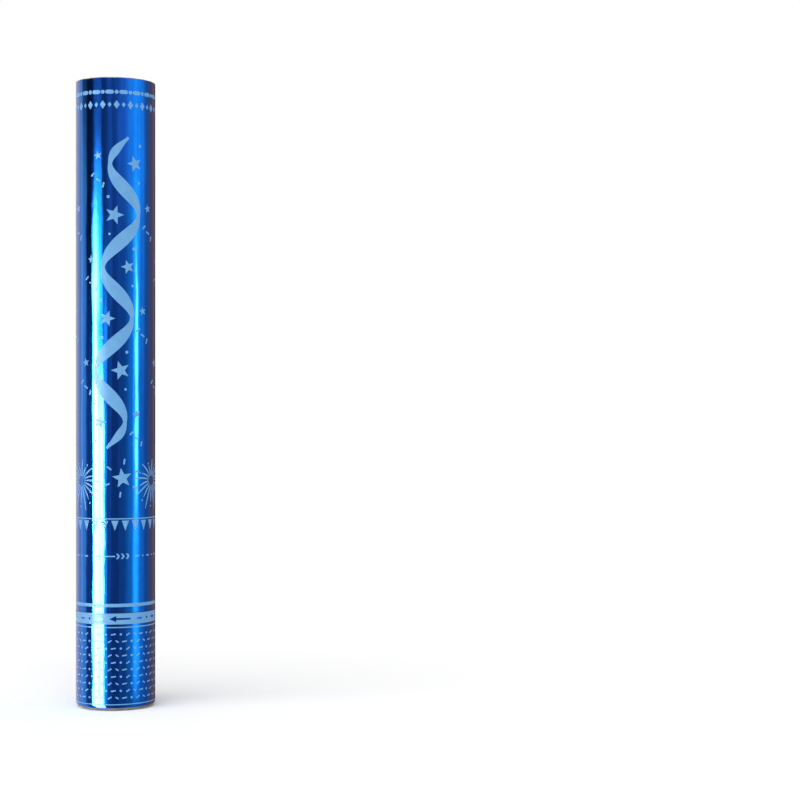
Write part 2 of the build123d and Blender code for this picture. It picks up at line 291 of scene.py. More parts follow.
def fibre_effect():
    """Short crossed fibres of paper and board."""
    group, given, out = effect("fibres", {"Place": VECTOR, "Scale": FLOAT}, ["Mask", "Height"])
    masks = []
    for turn, stretch in ((0.5, (0.18, 1.0, 1.0)), (-0.7, (1.0, 0.2, 0.9)), (1.4, (0.9, 0.8, 0.16))):
        lay = {"Vector": given["Place"], "Rotation": (turn, turn * 0.6, turn * 1.7), "Scale": stretch}
        laid = node(group, "ShaderNodeMapping", lay).outputs[0]
        strands = noise(group, laid, given["Scale"], 2.0)
        masks.append(remap(group, strands, 0.0, 1.0, source=(0.42, 0.68)))
    top = sums(group, "MAXIMUM", sums(group, "MAXIMUM", masks[0], masks[1]), masks[2])
    third = sums(group, "MULTIPLY", masks[2], 0.3)
    body = sums(group, "MULTIPLY_ADD", sums(group, "ADD", masks[0], masks[1]), 0.35, third)
    group.links.new(top, out["Mask"])
    group.links.new(body, out["Height"])
    return group


def drawn_effect():
    """Fine lines left along the way that a metal or film was drawn."""
    group, given, out = effect("drawn lines", {"Place": VECTOR, "Scale": FLOAT, "Stretch": VECTOR}, ["Mask"])
    stretch = {0: given["Place"], 1: given["Stretch"]}
    laid = node(group, "ShaderNodeVectorMath", stretch, operation="MULTIPLY").outputs[0]
    lines = noise(group, laid, given["Scale"], 4.0)
    group.links.new(remap(group, lines, 0.0, 1.0, source=(0.3, 0.7)), out["Mask"])
    return group


mottle = mottle_effect()
fibres = fibre_effect()
drawn_lines = drawn_effect()


# Materials
def blue_film():
    """A tinted mirror: lengthwise streaks from rolling, and a shallow sag where it bridges the board."""
    material, tree, shader, place = finish("blue metallic film", Metallic=1.0)
    rolls = use(tree, drawn_lines, Place=place, Scale=260.0, Stretch=(1.0, 1.0, 0.012))["Mask"]
    streaks = use(tree, drawn_lines, Place=place, Scale=620.0, Stretch=(1.0, 1.0, 0.006))["Mask"]
    sag = use(tree, drawn_lines, Place=place, Scale=62.0, Stretch=(1.0, 1.0, 0.22))["Mask"]
    dimples = use(tree, drawn_lines, Place=place, Scale=150.0, Stretch=(1.0, 1.0, 0.35))["Mask"]
    peel = use(tree, mottle, Place=place, Scale=1300.0, Detail=2.0)["Mask"]
    shade = use(tree, mottle, Place=place, Scale=240.0, Detail=5.0)["Mask"]
    tone = sums(tree, "MULTIPLY_ADD", shade, 0.25, sums(tree, "MULTIPLY", streaks, 0.75))
    colour = mixed(tree, tone, (0.0135, 0.122, 0.72, 1), (0.021, 0.182, 0.97, 1))
    uneven = sums(tree, "MULTIPLY_ADD", dimples, 0.25, sums(tree, "MULTIPLY_ADD", rolls, 0.5, sag))
    height = sums(tree, "MULTIPLY_ADD", peel, 0.012, uneven)
    feed(
        tree, shader, Base_Color=colour, Roughness=remap(tree, shade, 0.05, 0.085),
        Normal=relief(tree, height, depth=0.08 * MM),
    )
    return material


def silver_ink():
    """Flat silver-blue ink with a fine grain, a little thinner in places."""
    material, tree, shader, place = finish("silver-blue ink", Specular_IOR_Level=0.18)
    grain = use(tree, mottle, Place=place, Scale=2600.0, Detail=2.0)["Mask"]
    cloud = use(tree, mottle, Place=place, Scale=160.0, Detail=4.0)["Mask"]
    share = sums(tree, "MULTIPLY_ADD", grain, 0.45, sums(tree, "MULTIPLY", cloud, 0.45))
    colour = mixed(tree, share, (0.105, 0.295, 0.56, 1), (0.165, 0.385, 0.69, 1))
    feed(
        tree, shader, Base_Color=colour, Roughness=remap(tree, grain, 0.26, 0.36),
        Normal=relief(tree, grain, depth=0.004 * MM),
    )
    return material


def paperboard():
    """Spiral-wound board: plies show as rings on a cut edge, and a seam runs round the wall."""
    ply_thickness, ply_wander, seam_pitch = 0.4 * MM, 0.12 * MM, 74 * MM
    material, tree, shader, place = finish("spiral-wound paperboard", Specular_IOR_Level=0.25)
    parts = node(tree, "ShaderNodeSeparateXYZ", {0: place}).outputs
    flat = node(tree, "ShaderNodeCombineXYZ", {"X": parts["X"], "Y": parts["Y"]}).outputs[0]
    reach = node(tree, "ShaderNodeVectorMath", {0: flat}, operation="LENGTH").outputs["Value"]
    wander = use(tree, mottle, Place=place, Scale=420.0, Detail=3.0)["Mask"]
    ply_height = sums(tree, "MULTIPLY_ADD", wander, ply_wander, reach)
    plies = sums(tree, "SINE", sums(tree, "MULTIPLY", ply_height, FULL_TURN / ply_thickness))
    ply = remap(tree, plies, 0.0, 1.0, source=(-1.0, 1.0), kind="SMOOTHSTEP")
    around = node(tree, "ShaderNodeTexGradient", {0: place}, gradient_type="RADIAL").outputs[1]
    climb = sums(tree, "MULTIPLY_ADD", parts["Z"], 1 / seam_pitch, around)
    saw = sums(tree, "ABSOLUTE", sums(tree, "SUBTRACT", sums(tree, "FRACT", climb), 0.5))
    seam = remap(tree, saw, 1.0, 0.0, source=(0.0, 0.012), kind="SMOOTHSTEP")
    fuzz = use(tree, fibres, Place=place, Scale=1500.0)
    stain = use(tree, mottle, Place=place, Scale=130.0, Detail=4.0)["Mask"]
    base = mixed(tree, stain, (0.2, 0.165, 0.12, 1), (0.27, 0.235, 0.18, 1))
    layered = mixed(tree, sums(tree, "MULTIPLY", ply, 0.45), base, (0.13, 0.115, 0.09, 1))
    fibred = mixed(tree, sums(tree, "MULTIPLY", fuzz["Mask"], 0.3), layered, (0.42, 0.38, 0.31, 1))
    seamed = mixed(tree, sums(tree, "MULTIPLY", seam, 0.6), fibred, (0.08, 0.065, 0.05, 1))
    height = sums(tree, "SUBTRACT", sums(tree, "MULTIPLY_ADD", ply, 0.5, fuzz["Height"]), seam)
    feed(
        tree, shader, Base_Color=seamed, Roughness=remap(tree, fuzz["Mask"], 0.95, 0.78),
        Normal=relief(tree, height, depth=0.05 * MM),
    )
    return material


def pressed_board(name, dark, light, fleck):
    material, tree, shader, place = finish(name, Specular_IOR_Level=0.25)
    fuzz = use(tree, fibres, Place=place, Scale=1300.0)
    stain = use(tree, mottle, Place=place, Scale=180.0, Detail=4.0)["Mask"]
    base = mixed(tree, stain, dark, light)
    colour = mixed(tree, sums(tree, "MULTIPLY", fuzz["Mask"], 0.35), base, fleck)
    feed(
        tree, shader, Base_Color=colour, Roughness=remap(tree, fuzz["Mask"], 0.94, 0.76),
        Normal=relief(tree, fuzz["Height"], depth=0.05 * MM),
    )
    return material


def moulded_plastic(name, dark, light, smoothest, roughest):
    material, tree, shader, place = finish(name, Specular_IOR_Level=0.5)
    skin = use(tree, mottle, Place=place, Scale=1700.0, Detail=3.0)["Mask"]
    flow = use(tree, mottle, Place=place, Scale=90.0, Detail=3.0)["Mask"]
    feed(
        tree, shader, Base_Color=mixed(tree, flow, dark, light),
        Roughness=remap(tree, skin, smoothest, roughest), Normal=relief(tree, skin, depth=0.012 * MM),
    )
    return material


def drawn_metal(name, dark, light, smoothest, roughest, stretch):
    material, tree, shader, place = finish(name, Metallic=1.0)
    lines = use(tree, drawn_lines, Place=place, Scale=2600.0, Stretch=stretch)["Mask"]
    haze = use(tree, mottle, Place=place, Scale=210.0, Detail=4.0)["Mask"]
    feed(
        tree, shader, Base_Color=mixed(tree, haze, dark, light),
        Roughness=remap(tree, lines, smoothest, roughest), Normal=relief(tree, lines, depth=0.006 * MM),
    )
    return material


def cellular_foam():
    material, tree, shader, place = finish("white cellular foam", Specular_IOR_Level=0.1)
    cell_inputs = {"Vector": place, "Scale": 900.0}
    cells = node(tree, "ShaderNodeTexVoronoi", cell_inputs, feature="DISTANCE_TO_EDGE").outputs[0]
    wall = remap(tree, cells, 0.0, 1.0, source=(0.02, 0.3), kind="SMOOTHSTEP")
    stain = use(tree, mottle, Place=place, Scale=160.0, Detail=3.0)["Mask"]
    base = mixed(tree, stain, (0.62, 0.62, 0.595, 1), (0.72, 0.72, 0.7, 1))
    feed(
        tree, shader, Base_Color=mixed(tree, wall, base, (0.78, 0.78, 0.76, 1)),
        Roughness=remap(tree, wall, 0.9, 0.7), Normal=relief(tree, wall, depth=0.15 * MM),
    )
    return material


def foil_paper(name, dark, light):
    material, tree, shader, place = finish(name, Metallic=0.35)
    crinkle = use(tree, mottle, Place=place, Scale=620.0, Detail=4.0)["Mask"]
    lines = use(tree, fibres, Place=place, Scale=1900.0)["Height"]
    height = sums(tree, "MULTIPLY_ADD", lines, 0.2, crinkle)
    feed(
        tree, shader, Base_Color=mixed(tree, crinkle, dark, light),
        Roughness=remap(tree, crinkle, 0.24, 0.4), Normal=relief(tree, height, depth=0.05 * MM),
    )
    return material


film_blue = blue_film()
ink_silver = silver_ink()
board_brown = paperboard()
board_grey = pressed_board(
    "pressed grey board", dark=(0.13, 0.125, 0.11, 1), light=(0.18, 0.17, 0.155, 1),
    fleck=(0.34, 0.33, 0.3, 1),
)
card_white = pressed_board(
    "white-lined card", dark=(0.68, 0.67, 0.62, 1), light=(0.76, 0.75, 0.71, 1),
    fleck=(0.83, 0.82, 0.8, 1),
)
plastic_white = moulded_plastic(
    "white moulding", dark=(0.68, 0.68, 0.66, 1), light=(0.76, 0.76, 0.74, 1),
    smoothest=0.36, roughest=0.52,
)
plastic_black = moulded_plastic(
    "black moulding", dark=(0.012, 0.012, 0.013, 1), light=(0.02, 0.02, 0.022, 1),
    smoothest=0.34, roughest=0.5,
)
rubber_black = moulded_plastic(
    "black rubber", dark=(0.012, 0.012, 0.012, 1), light=(0.022, 0.022, 0.021, 1),
    smoothest=0.62, roughest=0.85,
)
steel_bright = drawn_metal(
    "bright drawn steel", dark=(0.44, 0.44, 0.45, 1), light=(0.56, 0.56, 0.57, 1),
    smoothest=0.2, roughest=0.36, stretch=(1, 1, 0.06),
)
aluminium = drawn_metal(
    "satin aluminium", dark=(0.62, 0.62, 0.63, 1), light=(0.72, 0.72, 0.73, 1),
    smoothest=0.28, roughest=0.46, stretch=(1, 1, 0.03),
)
brass_satin = drawn_metal(
    "satin brass", dark=(0.5, 0.34, 0.1, 1), light=(0.62, 0.44, 0.15, 1),
    smoothest=0.24, roughest=0.4, stretch=(0.2, 0.2, 1),
)
foam_white = cellular_foam()
slip_finishes = {
    "gold": foil_paper("gold foil paper", dark=(0.62, 0.36, 0.03, 1), light=(0.8, 0.52, 0.08, 1)),
    "blue": foil_paper("blue foil paper", dark=(0.01, 0.06, 0.42, 1), light=(0.02, 0.11, 0.6, 1)),
    "silver": foil_paper("silver foil paper", dark=(0.58, 0.6, 0.64, 1), light=(0.76, 0.78, 0.8, 1)),
    "magenta": foil_paper("magenta foil paper", dark=(0.42, 0.015, 0.2, 1), light=(0.6, 0.03, 0.32, 1)),
    "red": foil_paper("red foil paper", dark=(0.48, 0.008, 0.012, 1), light=(0.66, 0.02, 0.025, 1)),
    "green": foil_paper("green foil paper", dark=(0.01, 0.2, 0.04, 1), light=(0.025, 0.34, 0.08, 1)),
}


# Film wraps
def ripple_film(piece, foot_pleats):
    """Lays the film on its ripples; at the foot it gathers in small pleats where it goes round the curl."""
    pleat_top, pleat_depth = 3.6 * MM, 0.09 * MM
    for point in piece.data.vertices:
        angle, _ = polar(point)
        shift = film_radius(angle, point.co.z) - film_skin
        if foot_pleats:
            gather = smooth_step(pleat_top, grip_film_foot, point.co.z)
            shift -= pleat_depth * gather * (0.5 + 0.5 * uneven_wave(angle, 58, 2, 7))
        point.co.x += shift * math.cos(angle)
        point.co.y += shift * math.sin(angle)


def film_wrap(name, section, foot_pleats=False):
    piece = turned(name, section)
    ripple_film(piece, foot_pleats)
    apply_modifier(piece, "SOLIDIFY", thickness=film_thickness, offset=-1)
    smooth(piece, 50)
    return piece


def barrel_wrap():
    """Film round the barrel, trimmed a little unevenly just below the muzzle."""
    trim_line, trim_wander, trim_nick = barrel_top - film_trim, 0.16 * MM, 0.05 * MM
    heights = even_heights(barrel_foot, trim_line, step=4.5 * MM)
    piece = film_wrap("barrel_wrap", [(film_skin, height) for height in heights])
    for point in piece.data.vertices:
        if point.co.z > trim_line - MM:
            angle, _ = polar(point)
            point.co.z += trim_wander * math.sin(6 * angle) * math.sin(17 * angle + 1)
            point.co.z += trim_nick * uneven_wave(angle, 23, 3, 5)
    return settle(piece, film_blue, "barrel", "blue_film", "barrel_film")


def grip_wrap():
    """Film round the grip, down its wall and part of the way round the curl."""
    heights = even_heights(curl_radius, grip_top, step=4.2 * MM)[:0:-1]
    section = [(film_skin, height) for height in heights]
    section += arc(curl_middle, curl_radius, film_skin - curl_middle, first=0, last=-30, steps=7)
    piece = film_wrap("grip_wrap", section, foot_pleats=True)
    return settle(piece, film_blue, "grip", "blue_film", "grip_film")


# Print: flat shapes in (along the girth, height), wrapped round the film
front_angle = -math.pi / 2
girth = FULL_TURN * film_outside
back_line = girth / 2
lap_gap, lap_trim = 0.1 * MM, 0.5 * MM
lap_lift = 0.016 * MM
ink_lift = 0.03 * MM
arrow_lift = 0.04 * MM
bedding = 0.02 * MM
turn_arrow_count = 3
garland_count = 3


def star(u, v, size, turn):
    spikes, waist = 5, 0.42
    points = []
    for number in range(2 * spikes):
        reach = size if number % 2 == 0 else size * waist
        angle = turn + math.pi / 2 + math.pi * number / spikes
        points.append((u + reach * math.cos(angle), v + reach * math.sin(angle)))
    return points


def dot(u, v, radius, corners=12):
    angles = [FULL_TURN * number / corners for number in range(corners)]
    return [(u + radius * math.cos(angle), v + radius * math.sin(angle)) for angle in angles]


def dash(u, v, length, width, turn=0.0):
    """A short stroke with round ends."""
    half, radius, end_steps = (length - width) / 2, width / 2, 4
    points = []
    for side in (1, -1):
        for number in range(end_steps + 1):
            angle = math.pi * (number / end_steps - 0.5)
            points.append((side * (half + radius * math.cos(angle)), side * radius * math.sin(angle)))
    along, aside = math.cos(turn), math.sin(turn)
    return [(u + x * along - y * aside, v + x * aside + y * along) for x, y in points]


def slab(left, right, low, high):
    return [(left, low), (right, low), (right, high), (left, high)]


def ring_line(low, high):
    return slab(-back_line, back_line, low, high)


def diamond(u, v, half_width, half_height):
    return [(u + half_width, v), (u, v + half_height), (u - half_width, v), (u, v - half_height)]


def chevron(u, v, size):
    """An angle bracket that points to the right."""
    arm, point = size * 0.75, 0.7 * size
    upper = [(u, v + size), (u + arm, v + size), (u + point + arm, v)]
    return upper + [(u + arm, v - size), (u, v - size), (u + point, v)]


def strip(middle, widths):
    """Four-sided pieces along a line of (u, v) points, each point with its own width."""
    sides = []
    for number, (u, v) in enumerate(middle):
        before, after = middle[max(number - 1, 0)], middle[min(number + 1, len(middle) - 1)]
        run, rise = after[0] - before[0], after[1] - before[1]
        length = math.hypot(run, rise)
        half = widths[number] / 2
        across = (-rise / length * half, run / length * half)
        sides.append(((u + across[0], v + across[1]), (u - across[0], v - across[1])))
    return [[a[0], a[1], b[1], b[0]] for a, b in zip(sides, sides[1:])]


def spray(u, v, inner, outer, rays, turn, droop):
    """A burst of tapered strokes that bow down at their ends, with a dot beyond every other stroke."""
    steps, thin, swell, short_share = 6, 0.35 * MM, 0.75 * MM, 0.72
    spark, spark_reach, spark_droop = 0.6 * MM, 1.16, 1.3
    shapes = []
    for number in range(rays):
        angle = turn + FULL_TURN * number / rays
        far = outer * (1.0 if number % 2 == 0 else short_share)
        middle, widths = [], []
        for step in range(steps + 1):
            share = step / steps
            reach = inner + (far - inner) * share
            sunk = droop * far * share * share
            middle.append((u + reach * math.cos(angle), v + reach * math.sin(angle) - sunk))
            widths.append(thin + swell * math.sin(math.pi * min(share * 0.9 + 0.08, 1)))
        shapes += strip(middle, widths)
        if number % 2:
            reach, sunk = far * spark_reach, droop * far * spark_droop
            shapes.append(dot(u + reach * math.cos(angle), v + reach * math.sin(angle) - sunk, spark, 8))
    return shapes


def streamer(u, low, high, lean, sway, waves, width):
    """A curling ribbon that climbs the barrel: thin where it turns, broad where it crosses."""
    steps_per_wave = 44
    steps = steps_per_wave * waves
    middle, widths = [], []
    for step in range(steps + 1):
        share = step / steps
        swing = FULL_TURN * waves * share
        taper = smooth_step(0, 0.06, share) * smooth_step(1, 0.94, share)
        middle.append((u + lean * (share - 0.5) + sway * math.sin(swing), low + (high - low) * share))
        widths.append(width * (0.28 + 0.72 * abs(math.cos(swing)) ** 1.3) * (0.2 + 0.8 * taper))
    return strip(middle, widths)


def printed(name, shapes, lift, cut_step=1.5 * MM, rise_step=None):
    """Draws each shape as a filled ring of points, cuts all into strips and wraps them round the film."""
    flat_weld, wrapped_weld = 0.001 * MM, 0.002 * MM
    add_face = bpy.ops.mesh.primitive_circle_add
    piece = start(name, add_face, vertices=len(shapes[0]), fill_type="NGON")
    bpy.ops.object.mode_set(mode="EDIT")
    for number, shape in enumerate(shapes):
        if number:
            add_face(vertices=len(shape), fill_type="NGON")
        flat = bmesh.from_edit_mesh(piece.data)
        flat.verts.ensure_lookup_table()
        for point, (u, v) in zip(flat.verts[-len(shape):], shape):
            point.co = (u, v, 0)
    bpy.ops.mesh.select_all(action="SELECT")
    bpy.ops.mesh.remove_doubles(threshold=flat_weld)
    flat = bmesh.from_edit_mesh(piece.data)
    flat.normal_update()
    for face in flat.faces:
        if face.normal.z < 0:
            face.normal_flip()
    for axis, step in enumerate((cut_step, rise_step)):
        lowest = min(point.co[axis] for point in flat.verts)
        highest = max(point.co[axis] for point in flat.verts)
        facing = (1, 0, 0) if axis == 0 else (0, 1, 0)
        for number in range(1, int((highest - lowest) / step) + 1 if step else 0):
            cut([lowest + number * step if side else 0 for side in facing], facing)
        flat = bmesh.from_edit_mesh(piece.data)
    object_mode()
    for point in piece.data.vertices:
        angle = front_angle + point.co.x / film_outside
        reach = film_radius(angle, point.co.y) + lift
        point.co = (reach * math.cos(angle), reach * math.sin(angle), point.co.y)
    edit(piece)
    bpy.ops.mesh.remove_doubles(threshold=wrapped_weld)
    object_mode()
    apply_modifier(piece, "SOLIDIFY", thickness=lift + bedding, offset=-1)
    smooth(piece, 30)
    return piece


def row_of_marks(u, v, count, spacing, width):
    """Strokes and dots by turns."""
    shapes = []
    for number in range(count):
        place = u + number * spacing
        shapes.append(dot(place, v, 0.6 * width) if number % 2 else dash(place, v, 3.2 * width, width))
    return shapes


def turn_arrow(u, v):
    """A stroke and three chevrons that point to the right, with a few marks before the next arrow."""
    tail, neck, half = u - 13.5 * MM, u - 0.6 * MM, 0.4 * MM
    chevron_spacing, chevron_size, marks_start = 3.1 * MM, 1.7 * MM, u + 14 * MM
    shapes = [slab(tail, neck, v - half, v + half)]
    shapes += [chevron(u + number * chevron_spacing, v, chevron_size) for number in range(3)]
    return shapes + row_of_marks(marks_start, v, count=5, spacing=4.6 * MM, width=1.0 * MM)


def pennants(v, count):
    """Small hanging flags on a thin line."""
    line_width, half, top, tip = 0.7 * MM, 2.3 * MM, v - 0.8 * MM, v - 7.2 * MM
    shapes = [ring_line(v, v + line_width)]
    for number in range(count):
        u = -back_line + girth * (number + 0.5) / count
        shapes.append([(u - half, top), (u, tip), (u + half, top)])
    return shapes


def garland(u):
    """A streamer, with a star in each of its bays and a small star, sprinkles and dots outside."""
    low, high, lean, waves = 166 * MM, 362 * MM, 14 * MM, 3
    star_sizes, sprinkle_turns = (4.6 * MM, 6.2 * MM, 5.2 * MM), (0.7, -0.5, 1.3)
    first_sprinkle, sprinkle_drop, sprinkle_length, sprinkle_width = 7 * MM, 3.4 * MM, 3.6 * MM, 1.1 * MM
    bays = 2 * waves
    shapes = streamer(u, low, high, lean, sway=10.5 * MM, waves=waves, width=8.6 * MM)
    for bay in range(bays):
        share = (bay + 0.5) / bays
        side = -1 if bay % 2 == 0 else 1
        height = low + (high - low) * share
        middle = u + lean * (share - 0.5)
        outside = middle - side * 18.6 * MM
        shapes.append(star(middle + side * 5.5 * MM, height, star_sizes[bay % 3], turn=0.3 * side))
        shapes.append(star(outside, height + 5 * MM, 2.9 * MM, turn=0.2))
        for step, turn in enumerate(sprinkle_turns):
            across = outside + (step - 1) * sprinkle_length
            lower = height - first_sprinkle - step * sprinkle_drop
            shapes.append(dash(across, lower, sprinkle_length, sprinkle_width, turn))
        shapes.append(dot(middle + side * 9.4 * MM, height + 11.5 * MM, 1.0 * MM))
        shapes.append(dot(middle + side * 8.6 * MM, height - 12 * MM, 0.8 * MM))
    return shapes


def bursts(u):
    """A burst between two garlands, and a star in a ring of strokes at the foot of one."""
    beside = u + girth / (2 * garland_count)
    shapes = spray(beside, 145 * MM, inner=3.2 * MM, outer=16.5 * MM, rays=18, turn=0.1, droop=0.16)
    middle, height, ring, strokes, first = u + 3 * MM, 147 * MM, 10.5 * MM, 6, 0.4
    shapes.append(star(middle, height, 6.5 * MM, turn=0.15))
    for step in range(strokes):
        angle = FULL_TURN * step / strokes + first
        across, up = middle + ring * math.cos(angle), height + ring * math.sin(angle)
        shapes.append(dash(across, up, length=3.8 * MM, width=1.1 * MM, turn=angle))
    return shapes


def muzzle_border():
    """Strokes and dots in a row, over a row of large and small diamonds."""
    stroke_count, diamond_count = 18, 36
    stroke_line, diamond_line = 390.6 * MM, 382.6 * MM
    shapes = []
    for number in range(stroke_count):
        u = girth * number / stroke_count
        shapes.append(dash(u, stroke_line, length=5.6 * MM, width=2.5 * MM))
        shapes.append(dot(u + girth / (2 * stroke_count), stroke_line, 1.25 * MM))
    for number in range(diamond_count):
        half_width, half_height = (1.9 * MM, 2.7 * MM) if number % 2 else (1.2 * MM, 1.7 * MM)
        shapes.append(diamond(girth * number / diamond_count, diamond_line, half_width, half_height))
    return shapes


def barrel_print():
    stripe_low, stripe_high, first_arrow, arrow_line = 65.7 * MM, 67.8 * MM, 4.0 * MM, 97.7 * MM
    pennant_line, pennant_count, first_garland = 121 * MM, 24, 5 * MM
    shapes = [ring_line(stripe_low, stripe_high)]
    for number in range(turn_arrow_count):
        shapes += turn_arrow(first_arrow + girth * number / turn_arrow_count, arrow_line)
    shapes += pennants(pennant_line, pennant_count)
    for number in range(garland_count):
        u = first_garland + girth * number / garland_count
        shapes += garland(u) + bursts(u)
    shapes += muzzle_border()
    piece = printed("barrel_print", shapes, ink_lift)
    return settle(piece, ink_silver, "barrel", "blue_film")


def grip_print():
    """A broad band for the arrows, two thin lines, and rows of sprinkles between them."""
    rows, across, first_row, row_spacing = 10, 34, 8.4 * MM, 4.45 * MM
    sprinkles = ((2.9 * MM, 0.55), (2.3 * MM, -0.6), (3.3 * MM, 0.15))
    sprinkle_width, dot_radius = 0.85 * MM, 0.75 * MM
    band = (54.8 * MM, grip_top - 0.15 * MM)
    upper_line, lower_line = (52.5 * MM, 53.2 * MM), (3.9 * MM, 4.5 * MM)
    shapes = [ring_line(low, high) for low, high in (band, upper_line, lower_line)]
    for row in range(rows):
        height = first_row + row * row_spacing
        for number in range(across):
            u = girth * (number + 0.5 * (row % 2)) / across
            kind = (number + 2 * row) % (len(sprinkles) + 1)
            if kind == len(sprinkles):
                shapes.append(dot(u, height, dot_radius, 10))
            else:
                length, turn = sprinkles[kind]
                shapes.append(dash(u, height, length, sprinkle_width, turn))
    piece = printed("grip_print", shapes, ink_lift)
    return settle(piece, ink_silver, "grip", "blue_film")


def grip_arrows():
    """Bare film arrows on the silver band, pointing to the left."""
    line, head, shaft = 58.2 * MM, 1.9 * MM, 0.6 * MM
    shapes = []
    for number in range(turn_arrow_count):
        u = girth * number / turn_arrow_count
        tip, neck, tail, marks_start = u - 0.4 * MM, u + 4.2 * MM, u + 13.4 * MM, u + 19.6 * MM
        lower = [(tip, line), (neck, line - head), (neck, line - shaft), (tail, line - shaft)]
        shapes.append(lower + [(tail, line + shaft), (neck, line + shaft), (neck, line + head)])
        shapes += row_of_marks(marks_start, line, count=5, spacing=6.6 * MM, width=1.3 * MM)
    piece = printed("grip_arrows", shapes, arrow_lift)
    return settle(piece, film_blue, "grip", "blue_film")


def film_lap(name, low, high, body):
    """The film's free edge, glued down on itself at the back."""
    lap_width = 7 * MM
    edge = slab(back_line - lap_width / 2, back_line + lap_width / 2, low, high)
    piece = printed(name, [edge], lap_lift, cut_step=0.7 * MM, rise_step=4 * MM)
    return settle(piece, film_blue, body, "blue_film")


# Board, card and foam
edge_round = 0.22 * MM


def barrel_board():
    """The barrel's tube, with the cut edge at the muzzle a little frayed."""
    low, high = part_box("barrel_tube")[0].z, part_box("barrel_tube")[1].z
    outside, inside, fray_depth = board_outside, board_inside, 0.14 * MM
    heights = even_heights(low + edge_round, high - edge_round, step=40 * MM)
    section = [(outside, height) for height in heights]
    section += [(outside - edge_round, high), (outside - board_wall / 2, high), (inside + edge_round, high)]
    section += [(inside, height) for height in heights[::-1]]
    section += [(inside + edge_round, low), (outside - edge_round, low)]
    piece = turned("barrel_board", section, closed=True)
    for point in piece.data.vertices:
        if point.co.z > high - 2 * edge_round:
            angle, reach = polar(point)
            dip = 0.5 + 0.5 * math.sin(13 * angle + 900 * reach) * math.sin(31 * angle)
            point.co.z -= fray_depth * dip
    smooth(piece, 35)
    return settle(piece, board_brown, "barrel", "paperboard", "barrel_tube")


def grip_board():
    """The grip's tube, with its foot curled in to a lip; the curl is puckered and its rim uneven."""
    high, lip_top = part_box("grip_tube")[1].z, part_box("base_disc")[0].z
    outside, inside, ring_height, curl_start = board_outside, board_inside, 30 * MM, 10 * MM
    land_step, rim_height, rim_wave, pucker = 1.4 * MM, 0.9 * MM, 0.2 * MM, 0.12 * MM
    section = [(outside - edge_round, high), (outside, high - edge_round)]
    section += [(outside, ring_height), (outside, curl_start)]
    section += arc(curl_middle, curl_radius, curl_radius, first=0, last=-90, steps=14)
    section += [(curl_middle - land_step, 0), (curl_middle - 2 * land_step, 0), (lip_radius + edge_round, 0)]
    section += [(lip_radius, edge_round), (lip_radius, lip_top - edge_round)]
    section += [(lip_radius + edge_round, lip_top)]
    section += arc(curl_middle, curl_radius, curl_radius - board_wall, first=-90, last=0, steps=6)
    section += [(inside, ring_height), (inside, high - edge_round), (inside + edge_round, high)]
    piece = turned("grip_board", section, closed=True)
    for point in piece.data.vertices:
        angle, reach = polar(point)
        if point.co.z >= curl_radius or reach <= lip_radius - MM:
            continue
        wave = 0.5 + 0.5 * uneven_wave(angle, 44, 2.5, 5)
        turned_in = smooth_step(outside, lip_radius, reach)
        if point.co.z < rim_height:
            point.co.z += rim_wave * wave * turned_in
        elif reach > inside:
            pull = pucker * wave * (1 - abs(2 * turned_in - 0.6))
            point.co.x -= pull * math.cos(angle)
            point.co.y -= pull * math.sin(angle)
    smooth(piece, 35)
    return settle(piece, board_brown, "grip", "paperboard", "grip_tube")


def round_card(name, node_name, material, body, slot, dish):
    """A punched board disc: its faces dip a little, and its edge is crushed by the punch."""
    low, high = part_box(node_name)
    radius, thickness, middle = high.x, high.z - low.z, (low.z + high.z) / 2
    crush = min(0.3 * MM, thickness * 0.25)
    back_dish, warp = dish * 0.2, 0.06
    ring_shares = [0.06, 0.25, 0.45, 0.65, 0.8, 0.92]
    edge = [(radius - 1.2 * crush, 0), (radius - 0.3 * crush, 0.4 * crush), (radius, 1.4 * crush)]
    section = [(radius * share, high.z - dish * (1 - share * share)) for share in ring_shares]
    section += [(reach, high.z - depth) for reach, depth in edge]
    section += [(reach, low.z + depth) for reach, depth in edge[::-1]]
    section += [(radius * share, low.z + back_dish * (1 - share * share)) for share in ring_shares[::-1]]
    piece = turned(name, section, sides=128, capped=True)
    for point in piece.data.vertices:
        angle, reach = polar(point)
        share = reach / radius
        wave = math.sin(2 * angle + 0.7) * share ** 2 * 0.5 + math.sin(3 * angle + 5 * share) * share * 0.3
        point.co.z = middle + (point.co.z - middle) * (1 - warp * (1 + wave))
    smooth(piece, 35)
    return settle(piece, material, body, slot, node_name)


def wad():
    """A plug of cellular foam, pressed into the bore: dished faces, round shoulders and a pitted skin."""
    low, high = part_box("foam_wad")
    radius, middle = high.x, Vector((0, 0, (low.z + high.z) / 2))
    shoulder, dish, pit_depth = 1.6 * MM, 0.3 * MM, 0.3 * MM
    first_share, share_step, rings = 0.04, 0.06, 15
    shares = [first_share + share_step * number for number in range(rings)]
    wall = even_heights(low.z + shoulder, high.z - shoulder, step=0.8 * MM)
    section = [(radius * share, high.z - dish * (1 - share)) for share in shares]
    section += arc(radius - shoulder, high.z - shoulder, shoulder, first=90, last=0, steps=5)
    section += [(radius, height) for height in wall[-2:0:-1]]
    section += arc(radius - shoulder, low.z + shoulder, shoulder, first=0, last=-90, steps=5)
    section += [(radius * share, low.z + dish * (1 - share)) for share in shares[::-1]]
    piece = turned("wad", section, sides=160, capped=True)
    for point in piece.data.vertices:
        pit = random.random() ** 3 * pit_depth
        inward = middle - point.co
        point.co += inward.normalized() * pit
        point.co.z = min(max(point.co.z, low.z), high.z)
    smooth(piece, 60)
    return settle(piece, foam_white, "payload", "foam", "foam_wad")


